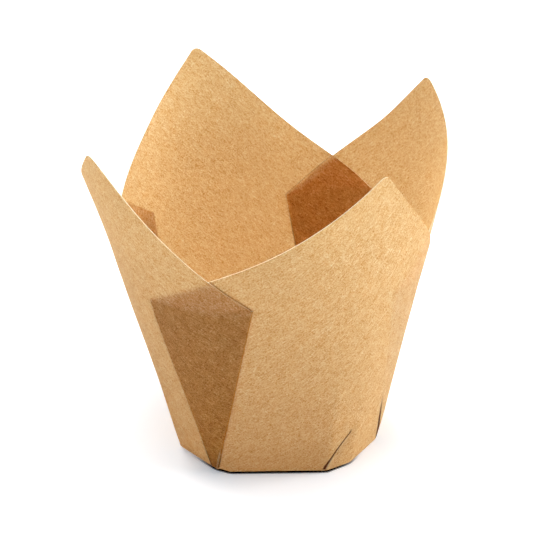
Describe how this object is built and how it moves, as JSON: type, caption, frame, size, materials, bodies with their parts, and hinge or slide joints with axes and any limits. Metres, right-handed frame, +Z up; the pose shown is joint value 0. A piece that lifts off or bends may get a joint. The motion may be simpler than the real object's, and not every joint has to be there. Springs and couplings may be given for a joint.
{
  "type": "cupcake liner",
  "caption": "Tulip-shaped baking liner folded from one square sheet of thin kraft paper, with pointed corner petals and knife pleats between them.",
  "frame": {"origin": "centre of the base, on its underside", "axes": "+Z up the open mouth, +X to the right and -Y to the front of the pictured view; azimuths run from -Y towards +X"},
  "size_m": [0.0856, 0.0815, 0.0873],
  "materials": {
    "kraft_paper": "thin unbleached greaseproof paper, matt, lets light through"
  },
  "bodies": {
    "root": {"liner": "kraft_paper"}
  },
  "joints": []
}
